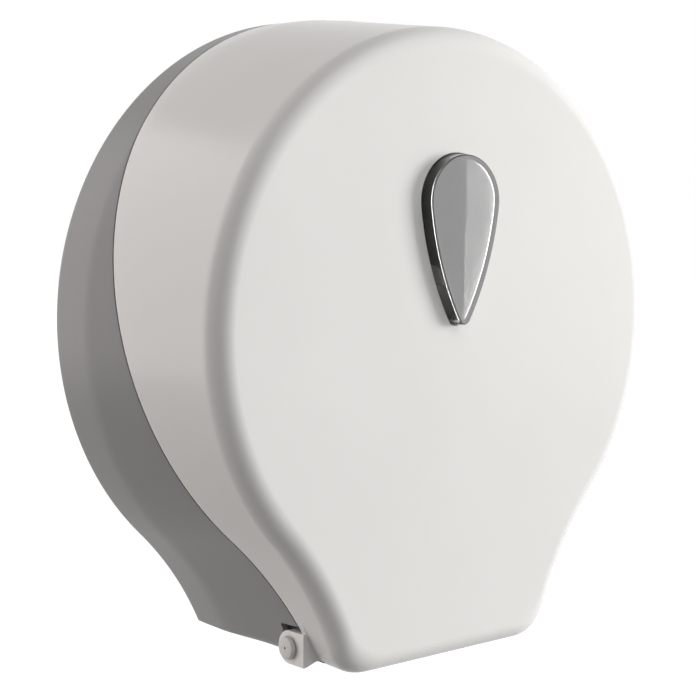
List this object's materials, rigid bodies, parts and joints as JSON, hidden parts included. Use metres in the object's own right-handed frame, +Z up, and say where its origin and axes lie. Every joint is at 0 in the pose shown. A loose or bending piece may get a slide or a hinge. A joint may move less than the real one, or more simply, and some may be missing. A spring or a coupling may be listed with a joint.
{
  "type": "jumbo toilet roll dispenser",
  "caption": "Wall-hung jumbo toilet roll dispenser: round body running into a narrow skirt, tip-down cover with a teardrop window, roll hub, serrated outlet and cam lock.",
  "frame": {"origin": "where the roll axis meets the wall, in the middle of the four wall screws", "axes": "+Z up, +X to the right seen from the front, +Y into the wall, front faces -Y"},
  "size_m": [0.27, 0.111, 0.2823],
  "materials": {
    "grey_plastic": "satin moulded",
    "white_plastic": "gloss moulded",
    "smoked_lens": "clear smoked",
    "pin_plastic": "semi-gloss moulded",
    "zinc_steel": "zinc plated",
    "blade_steel": "stamped stainless",
    "chrome": "polished",
    "plug_brass": "satin",
    "washer_rubber": "matte"
  },
  "bodies": {
    "base": {"rear_base": "grey_plastic", "hinge_pin_left": "pin_plastic", "hinge_pin_right": "pin_plastic", "spindle_post": "grey_plastic", "spindle_screws": "zinc_steel", "friction_washer": "washer_rubber", "hub_cap": "grey_plastic", "hub_cap_screw": "zinc_steel", "cutter_blade_left": "blade_steel", "cutter_blade_right": "blade_steel", "blade_screws": "zinc_steel", "lock_keeper": "zinc_steel", "keeper_screws": "zinc_steel"},
    "cover": {"front_cover": "white_plastic", "window_lens": "smoked_lens", "lock_barrel": "chrome", "lock_nut": "zinc_steel"},
    "hub": {"core_hub": "white_plastic"},
    "lock_rotor": {"lock_plug": "plug_brass", "lock_cam": "zinc_steel", "lock_cam_screw": "zinc_steel"}
  },
  "joints": [
    {"name": "cover_hinge", "type": "hinge", "parent": "base", "child": "cover", "pos_m": [0, -0.0755, -0.1375], "axis": [1, 0, 0], "range_deg": [0, 95]},
    {"name": "hub_spin", "type": "hinge", "parent": "base", "child": "hub", "pos_m": [0, -0.05, 0], "axis": [0, 1, 0], "continuous": true},
    {"name": "lock_turn", "type": "hinge", "parent": "cover", "child": "lock_rotor", "pos_m": [0, -0.026, 0.12], "axis": [0, 0, -1], "range_deg": [0, 90]}
  ]
}
